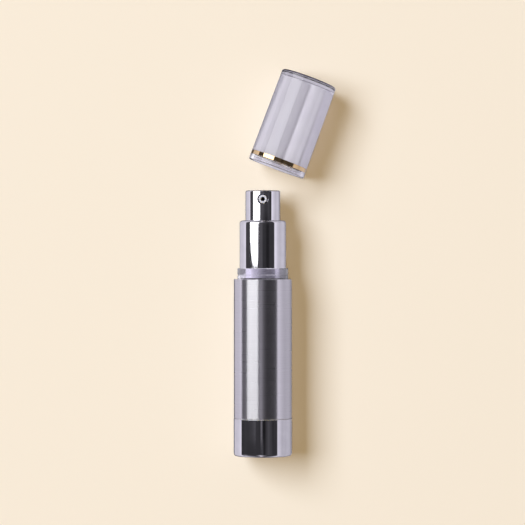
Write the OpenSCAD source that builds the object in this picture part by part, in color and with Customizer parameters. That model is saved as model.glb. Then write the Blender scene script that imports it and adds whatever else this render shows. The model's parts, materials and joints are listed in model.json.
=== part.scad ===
// Airless pump bottle of about 10 ml, lying on its back with its cap taken off beside it.
// Nearly every piece is turned about the bottle's axis, so it is drawn upright as a
// profile of radius by height above the base's bottom face, in millimetres. lay() then
// lays the bottle along +Y with its nozzle facing up (+Z). The origin is the centre of
// the base's bottom face, and the table lies one body radius below it.

/* [Outside] */
// Diameter of the base and of the cap's mouth
body_d = 22; // [21:0.1:24]
// Height of the polished base
base_h = 14.1; // [10:0.1:18]
// Length of the brushed sleeve
sleeve_h = 52.7; // [45:0.1:80]
// Height of the clear shoulder ring that shows above the sleeve
ring_h = 4.2; // [3.6:0.1:5]
// Height of the collar that shows above the ring
collar_h = 18.1; // [17.5:0.1:20]
// Height of the actuator that shows above the collar
head_h = 11.3; // [10.6:0.1:13]
// Width of the collar's flat rim around the actuator
rim_w = 2.12; // [1.9:0.02:2.3]

/* [Edges] */
// Radius of the base's bottom edge
base_edge = 1; // [0.6:0.1:1.6]
// Radius of the collar's top edge
collar_edge = 1.1; // [0.6:0.1:1.6]
// Radius of the actuator's top edge
head_edge = 0.5; // [0.4:0.05:0.8]
// Radius of the cap's top edge
cap_edge = 0.8; // [0.3:0.05:0.9]
// Radius of the sleeve's rolled top and bottom edges
sleeve_edge = 0.25; // [0.15:0.01:0.28]
// Chamfer on the clear ring's top edge
ring_edge = 0.2; // [0.1:0.05:0.3]

/* [Shells and walls] */
// Wall of the polished aluminium skins on base, collar and actuator
skin_t = 0.45; // [0.35:0.05:0.5]
// How far the sleeve stands back from the base all round
sleeve_step = 0.05; // [0:0.01:0.2]
// Wall of the brushed sleeve
sleeve_t = 0.5; // [0.3:0.05:0.6]
// Air gap between the sleeve and the inner bottle
jacket_gap = 0.85; // [0.6:0.05:1.2]
// Wall of the inner bottle
bottle_t = 1; // [0.7:0.05:1.2]
// Thickness of the inner bottle's shoulder
shoulder_t = 1.4; // [1:0.1:2]
// Floor of the base's core
core_floor = 1.2; // [0.8:0.1:2]
// Height of the core's spigot inside the sleeve
spigot_h = 4; // [2:0.1:6]
// Wall of the clear shoulder ring above its foot
ring_t = 0.73; // [0.66:0.01:0.8]
// Height of the shoulder ring's foot under the sleeve's lip
foot_h = 3.9; // [3:0.1:4.4]
// How far the collar's skin reaches down inside the shoulder ring
collar_tuck = 3.8; // [2.5:0.1:4]
// Wall of the collar's core around the actuator
core_t = 0.9; // [0.7:0.05:1]
// Thickness of the core's web on the pump's flange
web_t = 1.2; // [0.8:0.1:1.5]
// How far the actuator's skin reaches down inside the collar
head_tuck = 4.8; // [4:0.1:5.2]
// Gap between the actuator core's skirt and the pump's retainer
skirt_gap = 0.2; // [0.1:0.05:0.3]
// How far the actuator core's skirt stops above its skin's lower edge
skirt_up = 1.6; // [1:0.1:2.4]

/* [Cap] */
// Wall of the cap at its mouth
cap_t = 1.35; // [1.2:0.05:1.5]
// Thickness of the cap's clear top
cap_top_t = 2.2; // [1.2:0.1:3]
// How much less the cap's radius is at its top than at its mouth
cap_taper = 0.25; // [0.1:0.01:0.4]
// Wall of the cap's pearl liner
liner_t = 0.62; // [0.4:0.02:0.64]
// Thickness of the liner's closed end
liner_top_t = 0.35; // [0.3:0.05:0.8]
// Height of the gold band
band_h = 1.5; // [1:0.1:1.8]
// Height of the gold band's lower edge above the cap's rim
band_up = 2.1; // [1.8:0.05:3.5]
// Thickness of the gold band
band_t = 0.45; // [0.3:0.05:0.6]
// How far the snap bead stands into the cap's mouth
snap_bead = 0.15; // [0.1:0.01:0.2]
// Height of the snap bead and its groove above the sleeve
snap_up = 1.6; // [1.2:0.1:2.2]
// Width of the snap bead
snap_w = 0.3; // [0.2:0.05:0.5]

/* [Where the cap lies] */
// Angle of the cap's axis from the bottle's, clockwise seen from above
cap_turn = 20.3; // [0:0.1:30]
// Sideways place of the middle of the cap's mouth
cap_x = 5.02; // [0:0.01:10]
// Gap along the bottle from the actuator's top to the middle of the cap's mouth
cap_ahead = 8.4; // [6:0.1:30]

/* [Pump] */
// Travel of the pump from rest to fully pressed
stroke = 4.5; // [3.6:0.1:4.8]
// Radius of the stem
stem_r = 1.9; // [1.7:0.05:2]
// Radius of the stem's bore and of the passages in the actuator
passage_r = 1; // [0.7:0.05:1.1]
// Wall of the closure around the neck's bead
closure_t = 0.99; // [0.8:0.01:1.1]
// Wall of the pump barrel
barrel_t = 0.8; // [0.6:0.05:0.9]
// How far the barrel reaches below the inner bottle's shoulder
barrel_down = 1.4; // [1:0.1:2]
// Floor of the pump barrel
barrel_floor = 1.6; // [1.4:0.1:2]
// Height of the inner bottle's neck above its shoulder
neck_h = 11.6; // [11.2:0.1:12]
// Wall of the neck
neck_t = 1.4; // [1.1:0.05:1.5]
// Gap between the barrel and the neck's bore
neck_gap = 0.7; // [0.4:0.05:0.8]
// How far the neck's retaining bead stands out
neck_bead = 0.4; // [0.25:0.05:0.45]
// Depth of the bead's underside below the neck's top
bead_down = 2.5; // [2.2:0.1:3]
// Width of the bead's crest
bead_w = 1; // [0.6:0.1:1.2]
// Height of the closure's snap lip that grips under the bead
snap_lip_h = 0.9; // [0.6:0.1:1.2]
// Thickness of the neck gasket
gasket_t = 0.8; // [0.5:0.1:1]
// Thickness of the barrel's flange
flange_t = 1.2; // [0.9:0.1:1.4]
// Length of the return spring at rest
spring_l = 11; // [10.6:0.1:11.6]
// Wire of the return spring
spring_wire = 0.6; // [0.5:0.05:0.65]
// Gap between the return spring and the barrel's bore
spring_side = 0.7; // [0.4:0.05:0.8]
// Turns of the return spring
spring_turns = 7; // [5:1:8]
// Radius of the inlet ball
ball_r = 1.5; // [1.4:0.05:1.6]
// Lift of the inlet ball off its seat
ball_lift = 0.6; // [0.4:0.05:0.8]
// Radius of the inlet hole
inlet_r = 1.1; // [0.9:0.05:1.2]
// Height of the piston
piston_h = 3.5; // [3:0.1:3.8]
// Thickness of the flange on the stem that carries the piston
carrier_t = 1; // [0.8:0.1:1.2]
// Depth of the stem's top below the nozzle's axis
stem_down = 2.9; // [2.7:0.1:3.1]
// Wall of the actuator's post around the stem
post_t = 1.3; // [1:0.05:1.4]
// Length of the stem's tail, which centres the spring
tail_l = 3.2; // [2:0.1:3.6]
// Length of the retainer's plug in the barrel
plug_l = 1.5; // [1.2:0.1:1.8]
// Thickness of the retainer's head
retainer_t = 1.5; // [1.2:0.1:1.8]
// Wall of the retainer's skirt outside the barrel
retainer_wall = 0.4; // [0.3:0.05:0.45]
// Length of the retainer's skirt outside the barrel
retainer_drop = 2; // [1.5:0.1:2.2]

/* [Nozzle] */
// Depth of the nozzle's axis below the actuator's top
nozzle_drop = 3.3; // [3:0.05:3.6]
// Radius of the nozzle insert
nozzle_r = 1.6; // [1.4:0.05:1.7]
// Radius of the nozzle's mouth
mouth_r = 0.82; // [0.6:0.02:1]
// Depth of the nozzle's wide mouth
mouth_l = 2; // [0.8:0.1:2.2]
// Length of the nozzle insert
nozzle_l = 3.2; // [2.8:0.1:3.4]
// Radius of the dimple around the nozzle in the actuator's skin
dimple_r = 2.1; // [1.9:0.05:2.4]

/* [Follower] */
// Height of the follower piston
follower_h = 8; // [6:0.5:12]
// Height of each of its sealing lips
lip_h = 1.2; // [0.8:0.1:1.6]
// Wall of the follower piston
follower_t = 0.9; // [0.7:0.05:1.2]
// Height of the bottom plug's collar inside the bottle
bung_h = 1.2; // [0.8:0.1:2]
// Thickness of the bottom plug's flange
bung_t = 0.9; // [0.7:0.1:1.2]
// Radius of the vent hole in the base
vent_r = 0.75; // [0.5:0.05:1]
// Distance of the vent hole from the axis
vent_x = 5; // [3:0.1:6]

/* [Clearances] */
// Between skins, cores and other pieces pushed together
fit_gap = 0.05; // [0.02:0.01:0.07]
// Around a part that slides or turns in another
run_gap = 0.05; // [0.02:0.01:0.08]
// Around the actuator in the collar's opening
head_gap = 0.1; // [0.06:0.01:0.1]
// Between the cap's bore and the clear ring
cap_gap = 0.08; // [0.05:0.01:0.12]
// Between the cap's liner and the clear ring's top in the closed cap
ring_gap = 0.1; // [0.05:0.05:0.4]
// Open seam between the base and the sleeve
seam_gap = 0.1; // [0.05:0.01:0.2]
// Left free above the actuator in the closed cap
cap_clear = 0.25; // [0.2:0.05:0.6]
// Left free at the end of a travel
stop_gap = 0.3; // [0.2:0.05:0.35]

/* [Hidden] */

round_fn = 96;
arc_steps = 6;
small_edge = 0.3;
seat_gap = 0.2;
roof_t = 0.7;

// Radii of the outside pieces, worked inwards from the body
body_r = body_d / 2;
sleeve_r = body_r - sleeve_step;
sleeve_in = sleeve_r - sleeve_t;
bottle_r = sleeve_in - jacket_gap;
chamber_r = bottle_r - bottle_t;
cap_bore = body_r - cap_t;
ring_r = cap_bore - cap_gap;
ring_in = ring_r - ring_t;
collar_r = ring_in - 2 * fit_gap;
collar_in = collar_r - skin_t;
core_r = collar_in - fit_gap;
head_r = collar_r - rim_w - head_gap;
head_in = head_r - skin_t;
head_core_r = head_in - fit_gap;
nozzle_front = head_r - 0.07;
liner_r = cap_bore - fit_gap;
liner_in = liner_r - liner_t;

// Radii of the neck and the pump, worked inwards from the closure under the collar
closure_in = core_r - closure_t;
neck_r = closure_in - fit_gap - neck_bead;
neck_in = neck_r - neck_t;
barrel_out = neck_in - neck_gap;
barrel_r = barrel_out - barrel_t;
retainer_r = barrel_out + fit_gap + retainer_wall;
skirt_in = retainer_r + skirt_gap;
spring_r = barrel_r - spring_side - spring_wire / 2;
post_r = stem_r + post_t;
seat_r = ball_r + stop_gap;

// Heights of the outside pieces, from the base's bottom face up
sleeve_z = base_h + seam_gap;
sleeve_top = sleeve_z + sleeve_h;
ring_top = sleeve_top + ring_h;
collar_top = ring_top + collar_h;
head_top = collar_top + head_h;
nozzle_z = head_top - nozzle_drop;

// Inner bottle and follower
core_z = skin_t + fit_gap;
bung_z = core_z + core_floor;
bottle_z = bung_z + bung_t;
shoulder_z = sleeve_top - sleeve_t - fit_gap - foot_h;
ceiling_z = shoulder_z - shoulder_t;
neck_top = shoulder_z + neck_h;
follower_z = bottle_z + bung_h + stop_gap;
follower_travel = ceiling_z - stop_gap - follower_h - follower_z;

// Heights of the pump barrel, valve and stem
flange_z = neck_top + gasket_t;
web_z = flange_z + flange_t;
barrel_z = ceiling_z - barrel_down;
cage_z = barrel_z + barrel_floor;
seat_h = 0.8;
ball_z = cage_z - seat_h + ball_r * 0.85;
cage_floor_z = ball_z + ball_r + ball_lift + 2 * run_gap;
cage_t = 0.6;
cage_top = cage_floor_z + cage_t;
carrier_z = cage_top + spring_l;
piston_z = carrier_z + carrier_t;
piston_top = piston_z + piston_h;
plug_z = piston_top + stop_gap;
barrel_top = plug_z + plug_l;
retainer_top = barrel_top + retainer_t;
press_gap = 0.5;
post_z = retainer_top + stroke + press_gap;
stem_top = nozzle_z - stem_down;
roof_z = nozzle_z - nozzle_r - roof_t;
skirt_z = collar_top - head_tuck + skirt_up;
bead_z = neck_top - bead_down;

// Cap, from its rim up its own axis
cap_depth = ring_h + collar_h + head_h + cap_clear + liner_top_t;
cap_l = cap_depth + cap_top_t;
cap_dip = atan(cap_taper / cap_l);
cap_y = head_top + cap_ahead;
liner_z = ring_h + ring_gap;
band_top = band_up + band_h;

echo(follower_travel = follower_travel, cap_length = cap_l, overall = head_top);
echo(chamber_ml = PI * pow(chamber_r, 2) * follower_travel / 1000);
echo(dose_ml = PI * pow(barrel_r, 2) * stroke / 1000);
echo(spring_gap = (spring_l - spring_wire) / spring_turns - spring_wire);

// Points of an arc about (x, z) from angle a0 to angle a1
function arc(x, z, r, a0, a1) = [for (i = [0:arc_steps])
    let (a = a0 + (a1 - a0) * i / arc_steps) [x + r * cos(a), z + r * sin(a)]];

// Outer radius of the cap at height u above its rim
function cap_r(u) = body_r - cap_taper * u / cap_l;

// Solid turned about the upright axis from a profile of radius by height
module turned(profile) {
    rotate_extrude($fn = round_fn) polygon(profile);
}

// Round rod or hole along the upright axis
module rod(r, z0, z1) {
    translate([0, 0, z0]) cylinder(r = r, h = z1 - z0, $fn = round_fn);
}

// Round rod or hole towards the front, from y = from to y = to in front of the axis
module forward(r, z, from, to) {
    translate([0, -from, z]) rotate([90, 0, 0])
        cylinder(r = r, h = to - from, $fn = round_fn);
}

// Vent through the floor pieces of the base
module vent(z0, z1) {
    translate([vent_x, 0, 0]) rod(vent_r, z0, z1);
}

// Lays the upright bottle along +Y, its front upwards
module lay() {
    rotate([-90, 0, 0]) children();
}

// Lays the upright cap on the table beside the bottle, along its tapered side
module lay_cap() {
    translate([cap_x, cap_y, -body_r]) rotate([0, 0, -cap_turn])
        rotate([-cap_dip, 0, 0]) translate([0, 0, body_r]) lay() children();
}

// Polished cup over the outside of the base, with a vent hole in its floor
module base_shell() {
    inner = body_r - skin_t;
    inner_edge = base_edge - skin_t;
    color("silver") lay() difference() {
        turned(concat([[0, 0]], arc(body_r - base_edge, base_edge, base_edge, -90, 0),
            [[body_r, base_h], [inner, base_h]],
            arc(inner - inner_edge, base_edge, inner_edge, 0, -90), [[0, skin_t]]));
        vent(-1, core_z + 1);
    }
}

// Plastic core of the base, whose spigot stands up inside the sleeve
module base_core() {
    outer = body_r - skin_t - fit_gap;
    edge = base_edge - skin_t - fit_gap;
    color("gainsboro") lay() difference() {
        turned(concat([[0, core_z]],
            arc(outer - edge, core_z + edge, edge, -90, 0),
            [[outer, base_h], [sleeve_in - fit_gap, base_h],
            [sleeve_in - fit_gap, base_h + spigot_h],
            [bottle_r + fit_gap, base_h + spigot_h],
            [bottle_r + fit_gap, bung_z], [0, bung_z]]));
        vent(0, bung_z + 1);
    }
}

// Vented plug that closes the open lower end of the inner bottle
module bottom_plug() {
    plug_r = chamber_r - fit_gap;
    color("white") lay() difference() {
        turned([[0, bung_z], [bottle_r, bung_z], [bottle_r, bottle_z],
            [plug_r, bottle_z], [plug_r, bottle_z + bung_h],
            [plug_r - follower_t, bottle_z + bung_h], [plug_r - follower_t, bottle_z],
            [0, bottle_z]]);
        vent(0, bottle_z + 1);
    }
}

// Brushed aluminium sleeve, its top edge rolled in to a lip around the clear ring
module outer_sleeve() {
    lip_in = ring_r + cap_gap;
    color("lightgray") lay() turned(concat(
        arc(sleeve_r - sleeve_edge, sleeve_z + sleeve_edge, sleeve_edge, -90, 0),
        arc(sleeve_r - sleeve_edge, sleeve_top - sleeve_edge, sleeve_edge, 0, 90),
        [[lip_in, sleeve_top], [lip_in, sleeve_top - sleeve_t],
        [sleeve_in, sleeve_top - sleeve_t], [sleeve_in, sleeve_z]]));
}

// Inner bottle that holds the product, open below, with a neck for the pump
module inner_bottle() {
    bead_r = neck_r + neck_bead;
    color("whitesmoke") lay() turned([[chamber_r, bottle_z], [bottle_r, bottle_z],
        [bottle_r, shoulder_z], [neck_r, shoulder_z], [neck_r, bead_z - neck_bead],
        [bead_r, bead_z], [bead_r, bead_z + bead_w], [neck_r, bead_z + bead_w + neck_bead],
        [neck_r, neck_top], [neck_in, neck_top],
        [neck_in, ceiling_z], [chamber_r, ceiling_z]]);
}

// Follower that rises behind the product, with a lip at each end
module follower_piston() {
    lip_r = chamber_r - run_gap;
    lip_out = 0.35;
    waist_r = lip_r - lip_out;
    dish_r = barrel_out + stop_gap;
    dish_d = barrel_down + 2 * run_gap;
    top = follower_z + follower_h;
    crown = top - dish_d - follower_t;
    color("white") lay() turned([[0, crown], [waist_r - follower_t, crown],
        [waist_r - follower_t, follower_z], [lip_r, follower_z],
        [lip_r, follower_z + lip_h], [waist_r, follower_z + lip_h + lip_out],
        [waist_r, top - lip_h - lip_out], [lip_r, top - lip_h], [lip_r, top],
        [dish_r, top], [dish_r, top - dish_d], [0, top - dish_d]]);
}

// Clear ring on the bottle's shoulder, held by its foot under the sleeve's lip
module shoulder_ring() {
    foot_r = sleeve_in - fit_gap;
    foot_in = core_r + fit_gap;
    foot_top = shoulder_z + foot_h;
    ledge = ring_top - collar_tuck - fit_gap;
    groove_z = sleeve_top + snap_up;
    groove_w = snap_w + fit_gap;
    groove_r = ring_r - snap_bead - fit_gap;
    color("lavender", 0.5) lay() turned([[foot_in, shoulder_z], [foot_r, shoulder_z],
        [foot_r, foot_top], [ring_r, foot_top],
        [ring_r, groove_z - groove_w / 2], [groove_r, groove_z - groove_w / 2],
        [groove_r, groove_z + groove_w / 2], [ring_r, groove_z + groove_w / 2],
        [ring_r, ring_top - ring_edge], [ring_r - ring_edge, ring_top],
        [ring_in, ring_top], [ring_in, ledge], [foot_in, ledge]]);
}

// Polished skin of the collar, open at the top for the actuator
module collar_shell() {
    mouth = head_r + head_gap;
    inner_edge = collar_edge - skin_t;
    bottom = ring_top - collar_tuck;
    color("silver") lay() turned(concat([[collar_in, bottom], [collar_r, bottom]],
        arc(collar_r - collar_edge, collar_top - collar_edge, collar_edge, 0, 90),
        [[mouth, collar_top], [mouth, collar_top - skin_t]],
        arc(collar_in - inner_edge, collar_top - collar_edge, inner_edge, 90, 0)));
}

// Closure under the collar's skin: it snaps on the neck and clamps the pump's flange
module collar_core() {
    bottom = shoulder_z + 2 * stop_gap;
    top = collar_top - skin_t - fit_gap;
    edge = collar_edge - skin_t;
    bore = closure_in;
    snap_r = neck_r + 2 * fit_gap;
    ramp = bore - snap_r;
    snap_z = bead_z - neck_bead - fit_gap;
    bay = core_r - core_t;
    color("white") lay() turned(concat([[bore, bottom], [core_r, bottom]],
        arc(core_r - edge, top - edge, edge, 0, 90),
        [[bay, top], [bay, web_z + web_t], [barrel_out + fit_gap, web_z + web_t],
        [barrel_out + fit_gap, web_z], [bore, web_z], [bore, snap_z],
        [snap_r, snap_z - ramp], [snap_r, snap_z - ramp - snap_lip_h],
        [bore, snap_z - 2 * ramp - snap_lip_h]]));
}

// Foam washer between the neck and the pump's flange
module neck_gasket() {
    color("gainsboro") lay() difference() {
        rod(neck_r, neck_top, flange_z);
        rod(neck_in, neck_top - 1, flange_z + 1);
    }
}

// Pump barrel: its flange sits on the neck and its floor holds the inlet valve's seat
module pump_barrel() {
    seat_z = cage_z - seat_h;
    color("ghostwhite") lay() turned([[inlet_r, barrel_z], [barrel_out, barrel_z],
        [barrel_out, flange_z], [neck_r, flange_z], [neck_r, web_z],
        [barrel_out, web_z], [barrel_out, barrel_top], [barrel_r, barrel_top],
        [barrel_r, cage_z], [seat_r, cage_z], [inlet_r, seat_z]]);
}

// Cage that keeps the inlet ball near its seat and carries the spring
module valve_cage() {
    room_r = ball_r + 0.25;
    middle_r = 0.5;
    hole_r = 0.25;
    holes = 3;
    color("white") lay() difference() {
        rod(barrel_r - fit_gap, cage_z, cage_top);
        rod(room_r, cage_z - 1, cage_floor_z);
        rod(middle_r, cage_floor_z - 1, cage_top + 1);
        for (i = [0:holes - 1])
            rotate([0, 0, i * 360 / holes]) translate([room_r - 2 * hole_r, 0, 0])
                rod(hole_r, cage_floor_z - 1, cage_top + 1);
    }
}

// Steel ball of the inlet valve, resting on its seat
module inlet_ball() {
    color("slategray") lay() translate([0, 0, ball_z + run_gap])
        sphere(r = ball_r, $fn = round_fn);
}

// Return spring: one unbroken wire that winds up the helix (r cos a, r sin a, rise a)
module return_spring() {
    rings_a_turn = 12;
    sides = 6;
    rings = rings_a_turn * spring_turns;
    wire_r = spring_wire / 2;
    low = cage_top + wire_r + run_gap;
    high = carrier_z - wire_r - run_gap;
    points = [for (i = [0:rings], k = [0:sides - 1])
        let (a = 360 * i / rings_a_turn, b = 360 * k / sides,
            r = spring_r + wire_r * cos(b), z = low + (high - low) * i / rings)
        [r * cos(a), r * sin(a), z + wire_r * sin(b)]];
    side_faces = [for (i = [0:rings - 1], k = [0:sides - 1], half = [0, 1])
        let (p = i * sides + k, q = i * sides + (k + 1) % sides)
        half == 0 ? [p, q, q + sides] : [p, q + sides, p + sides]];
    start_cap = [for (k = [1:sides - 2]) [0, k + 1, k]];
    last = rings * sides;
    end_cap = [for (k = [1:sides - 2]) [last, last + k, last + k + 1]];
    color("slategray") lay()
        polyhedron(points = points, faces = concat(side_faces, start_cap, end_cap));
}

// Hollow stem: a tail in the spring, a flange under the piston, a bore to the top
module stem() {
    tail_r = spring_r - spring_wire / 2 - stop_gap;
    tip = 0.4;
    carrier_r = barrel_r - 0.4;
    port_r = 0.5;
    port_z = piston_z + 2 * port_r;
    color("white") lay() difference() {
        turned([[0, carrier_z - tail_l], [tail_r - tip, carrier_z - tail_l],
            [tail_r, carrier_z - tail_l + tip], [tail_r, carrier_z],
            [carrier_r, carrier_z], [carrier_r, piston_z],
            [stem_r, piston_z], [stem_r, stem_top], [0, stem_top]]);
        rod(passage_r, port_z - port_r, stem_top + 1);
        translate([0, 0, port_z]) rotate([0, 90, 0])
            cylinder(r = port_r, h = 4 * stem_r, center = true, $fn = round_fn);
    }
}

// Soft piston on the stem, with a lip at each end that wipes the barrel
module pump_piston() {
    wipe_r = barrel_r - run_gap;
    wipe_h = 0.7;
    waist_r = wipe_r - small_edge;
    waist_z = wipe_h + small_edge;
    color("white") lay() turned([[stem_r + run_gap, piston_z], [wipe_r, piston_z],
        [wipe_r, piston_z + wipe_h], [waist_r, piston_z + waist_z],
        [waist_r, piston_top - waist_z], [wipe_r, piston_top - wipe_h], [wipe_r, piston_top],
        [stem_r + run_gap, piston_top]]);
}

// Retainer snapped on the barrel's top, which guides the stem and stops the piston
module stem_retainer() {
    bore = stem_r + run_gap;
    color("white") lay() turned([[bore, plug_z], [barrel_r - fit_gap, plug_z],
        [barrel_r - fit_gap, barrel_top], [barrel_out + fit_gap, barrel_top],
        [barrel_out + fit_gap, barrel_top - retainer_drop],
        [retainer_r, barrel_top - retainer_drop], [retainer_r, retainer_top - small_edge],
        [retainer_r - small_edge, retainer_top], [bore, retainer_top]]);
}

// Polished skin of the actuator, dimpled around the nozzle's window
module actuator_shell() {
    inner_edge = max(head_edge - skin_t, 0.02);
    bottom = collar_top - head_tuck;
    window_r = nozzle_r + fit_gap;
    dimple_d = skin_t - 2 * fit_gap;
    flare = dimple_r - window_r;
    color("silver") lay() difference() {
        turned(concat([[head_in, bottom], [head_r, bottom]],
            arc(head_r - head_edge, head_top - head_edge, head_edge, 0, 90),
            [[0, head_top], [0, head_top - skin_t]],
            arc(head_in - inner_edge, head_top - skin_t - inner_edge, inner_edge, 90, 0)));
        forward(window_r, nozzle_z, 1, head_r + 1);
        translate([0, dimple_d - head_r, nozzle_z]) rotate([90, 0, 0])
            cylinder(r1 = window_r, r2 = window_r + 2 * flare, h = 2 * dimple_d,
                $fn = round_fn);
    }
}

// Plastic core of the actuator: skirt, post for the stem, passages to the nozzle
module actuator_core() {
    top = head_top - skin_t - fit_gap;
    back = nozzle_front - nozzle_l - seat_gap;
    color("white") lay() difference() {
        turned([[0, post_z], [post_r, post_z], [post_r, roof_z], [skirt_in, roof_z],
            [skirt_in, skirt_z], [head_core_r, skirt_z], [head_core_r, top - small_edge],
            [head_core_r - small_edge, top], [0, top]]);
        rod(stem_r + run_gap, post_z - 1, stem_top + seat_gap);
        rod(passage_r, stem_top, nozzle_z);
        forward(passage_r, nozzle_z, 0, head_r);
        forward(nozzle_r, nozzle_z, back, head_r);
    }
}

// Nozzle insert in the front of the actuator, with a wide mouth and a narrow way in
module nozzle_insert() {
    rear = nozzle_front - nozzle_l;
    round_r = 0.35;
    color("lightgray") lay() translate([0, -rear, nozzle_z]) rotate([90, 0, 0]) difference() {
        turned(concat([[0, 0], [nozzle_r - fit_gap, 0]],
            arc(nozzle_r - fit_gap - round_r, nozzle_l - round_r, round_r, 0, 90),
            [[0, nozzle_l]]));
        rod(passage_r / 2, -1, nozzle_l);
        rod(mouth_r, nozzle_l - mouth_l, nozzle_l + 1);
    }
}

// Clear thick-walled shell of the cap, grooved for its gold band
module cap_shell() {
    groove_r = cap_r(band_up) - band_t;
    bead_r = cap_bore - snap_bead;
    color("lavender", 0.4) lay_cap() turned(concat(
        [[cap_bore, 0], [cap_r(0), 0], [cap_r(band_up), band_up],
        [groove_r, band_up], [groove_r, band_top],
        [cap_r(band_top), band_top]],
        arc(cap_r(cap_l) - cap_edge, cap_l - cap_edge, cap_edge, 0, 90),
        [[0, cap_l], [0, cap_depth], [cap_bore, cap_depth],
        [cap_bore, snap_up + snap_w / 2], [bead_r, snap_up + snap_w / 4],
        [bead_r, snap_up - snap_w / 4], [cap_bore, snap_up - snap_w / 2]]));
}

// Pearl liner that shows through the cap's clear wall
module cap_liner() {
    color("thistle") lay_cap() turned([[liner_in, liner_z], [liner_r, liner_z],
        [liner_r, cap_depth], [0, cap_depth], [0, cap_depth - liner_top_t],
        [liner_in, cap_depth - liner_top_t]]);
}

// Gold band in its groove, flush with the outside of the cap
module cap_band() {
    inner = cap_r(band_up) - band_t;
    color("goldenrod") lay_cap() turned([[inner, band_up], [cap_r(band_up), band_up],
        [cap_r(band_top), band_top], [inner, band_top]]);
}

base_shell();
base_core();
bottom_plug();
outer_sleeve();
inner_bottle();
follower_piston();
shoulder_ring();
collar_shell();
collar_core();
neck_gasket();
pump_barrel();
valve_cage();
inlet_ball();
return_spring();
stem();
pump_piston();
stem_retainer();
actuator_shell();
actuator_core();
nozzle_insert();
cap_shell();
cap_liner();
cap_band();
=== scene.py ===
"""Looks of the airless pump bottle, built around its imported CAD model.

The bottle lies along +Y with its nozzle facing up, and the cap lies beside its tip. Outside
pieces are surfaces worked out here with numpy; inner pieces keep their CAD meshes and get
materials. Shapes are written in millimetres and put into the meshes in metres.
"""

import json
import math

import bpy
import numpy as np
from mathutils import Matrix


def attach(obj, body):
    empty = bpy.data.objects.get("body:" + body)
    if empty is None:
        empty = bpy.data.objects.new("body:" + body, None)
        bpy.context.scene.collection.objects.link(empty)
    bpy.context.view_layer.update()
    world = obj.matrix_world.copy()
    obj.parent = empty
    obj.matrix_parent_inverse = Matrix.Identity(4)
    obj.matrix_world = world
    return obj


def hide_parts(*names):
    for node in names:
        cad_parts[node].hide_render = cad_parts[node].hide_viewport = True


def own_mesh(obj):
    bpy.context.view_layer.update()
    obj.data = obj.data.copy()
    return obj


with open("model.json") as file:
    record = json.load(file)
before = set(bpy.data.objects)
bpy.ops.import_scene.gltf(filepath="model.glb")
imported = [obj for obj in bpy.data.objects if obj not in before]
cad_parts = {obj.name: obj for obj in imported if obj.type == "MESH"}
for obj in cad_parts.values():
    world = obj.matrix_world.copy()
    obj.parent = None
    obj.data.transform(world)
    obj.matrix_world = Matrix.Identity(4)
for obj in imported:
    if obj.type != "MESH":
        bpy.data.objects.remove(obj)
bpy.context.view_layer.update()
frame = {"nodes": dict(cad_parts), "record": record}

MM = 0.001
TURN_STEPS = 192
ARC_STEPS = 10

# Sizes of the bottle, in millimetres, as its CAD source has them
BODY_R = 11.0
BASE_H = 14.1
SLEEVE_Z = 14.2
SLEEVE_TOP = 66.9
SLEEVE_R = 10.95
SLEEVE_IN = 10.45
LIP_IN = 9.65
SHOULDER_Z = 62.45
RING_TOP = 71.1
RING_R = 9.57
RING_IN = 8.84
GROOVE_Z = 68.5
COLLAR_BOTTOM = 67.3
COLLAR_TOP = 89.2
COLLAR_R = 8.74
SKIN_T = 0.45
HEAD_BOTTOM = 84.4
HEAD_TOP = 100.5
HEAD_R = 6.52
NOZZLE_Y = 97.2
NOZZLE_FRONT = 6.45
WINDOW_R = 1.65
DIMPLE_R = 2.1
DIMPLE_D = 0.35

# Sizes of the cap, by height above its rim
CAP_L = 36.4
CAP_DEPTH = 34.2
CAP_BORE = 9.65
CAP_TAPER = 0.25
CAP_EDGE = 0.8
BAND_LOW = 2.1
BAND_HIGH = 3.6
LINER_LOW = 4.3
PRESSED = 0.01
LINER_IN = 8.98
COAT_LOW = 3.65
COAT_IN = 9.62
CAP_X = 5.02
CAP_Y = 108.9
CAP_TURN = math.radians(20.3)
CAP_DIP = math.atan(CAP_TAPER / CAP_L)

# Tones painted across the cap liner's closed end, by place in millimetres: painted shade with
# lighter painted stripes, which stand for the light and dark stripes that the photograph shows
# through the clear top
END_PAINTED_SHADE_TONES = ((-10, 0.17), (-7.4, 0.17), (-6.6, 0.05), (-5.2, 0.05), (-4.6, 0.20), (-2.4, 0.22),
    (-1.8, 0.09), (3, 0.12), (6, 0.15), (10, 0.12))
END_PAINTED_SHADE_TINT = np.array([1.0, 0.90, 1.14])

# Painted shadow: tone of a strip of the table under the cap's closed end, which only clear plastic
# shows
UNDER_TOP_PAINTED_SHADOW = (0.125, 0.108, 0.14)


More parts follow.
